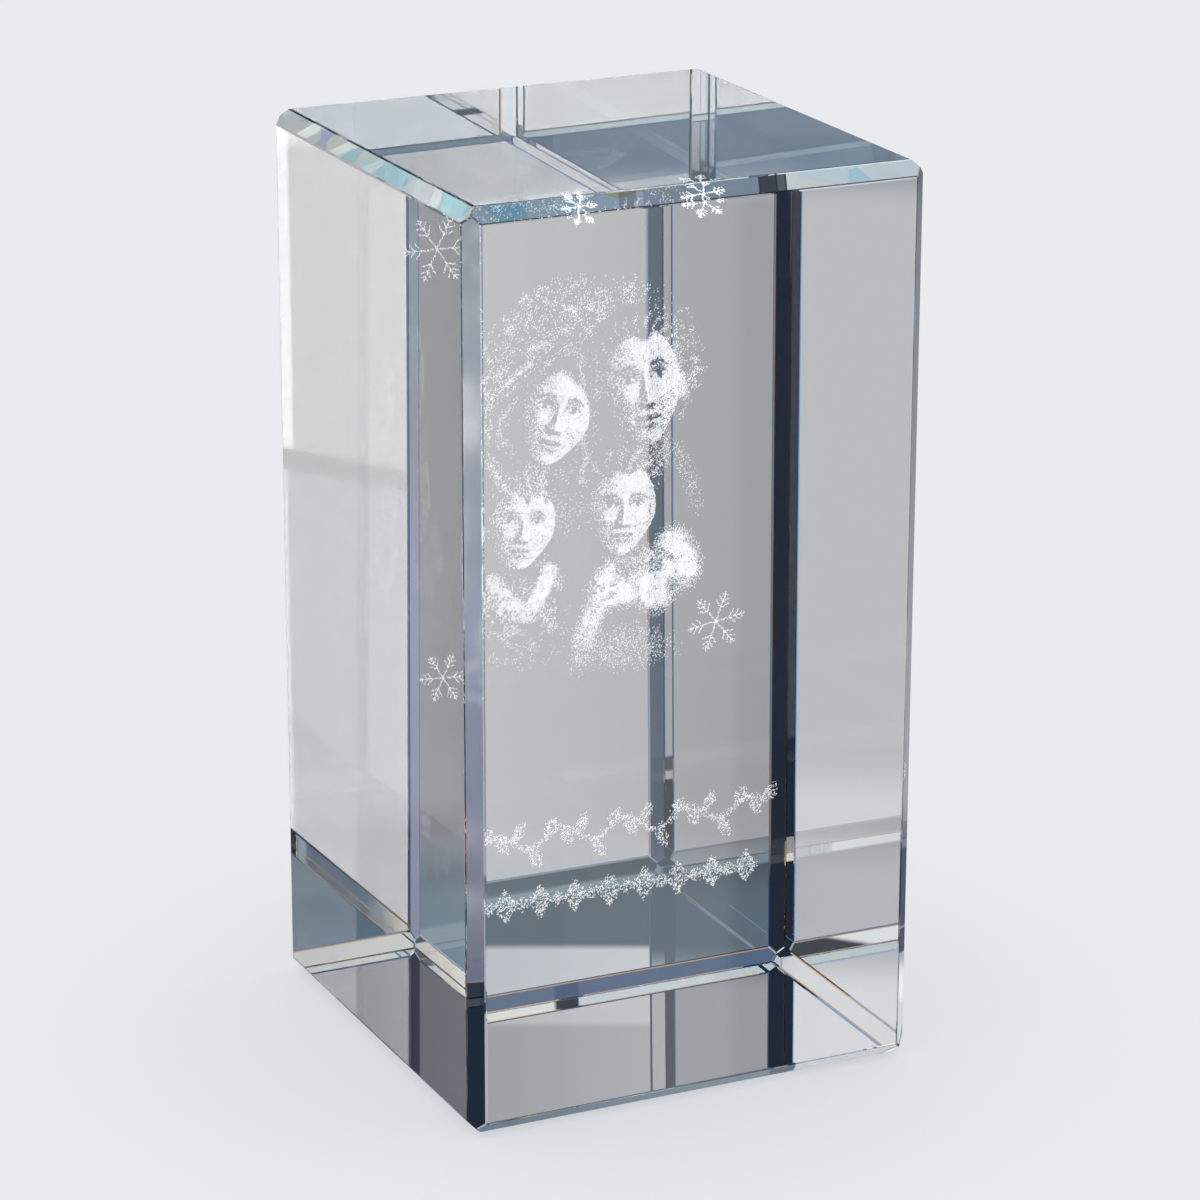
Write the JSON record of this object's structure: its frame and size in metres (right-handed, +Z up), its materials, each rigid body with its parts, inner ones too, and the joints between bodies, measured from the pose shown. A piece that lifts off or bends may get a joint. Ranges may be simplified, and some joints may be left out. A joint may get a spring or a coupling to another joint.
{
  "type": "engraved crystal block",
  "caption": "Upright square block of clear optical crystal with chamfered edges, holding a laser-written family portrait, snowflakes and ornament lines inside.",
  "frame": {"origin": "centre of the base, on the surface the block stands on", "axes": "+Z up along the block, -Y out of the front face from which the engraved picture is looked at, +X to the viewer's right"},
  "size_m": [0.06, 0.06, 0.115],
  "materials": {
    "crystal": "clear optical crystal, all faces and chamfers polished",
    "engraving": "clouds of fine white cracks inside the crystal, matt"
  },
  "bodies": {
    "root": {"crystal_block": "crystal", "portrait_adult_left": "engraving", "portrait_adult_right": "engraving", "portrait_child_left": "engraving", "portrait_child_right": "engraving", "portrait_backdrop": "engraving", "snowflake_top_left": "engraving", "snowflake_top_centre": "engraving", "snowflake_top_right": "engraving", "snowflake_lower_right": "engraving", "snowflake_lower_left": "engraving", "ornament_line_upper": "engraving", "ornament_line_lower": "engraving"}
  },
  "joints": []
}
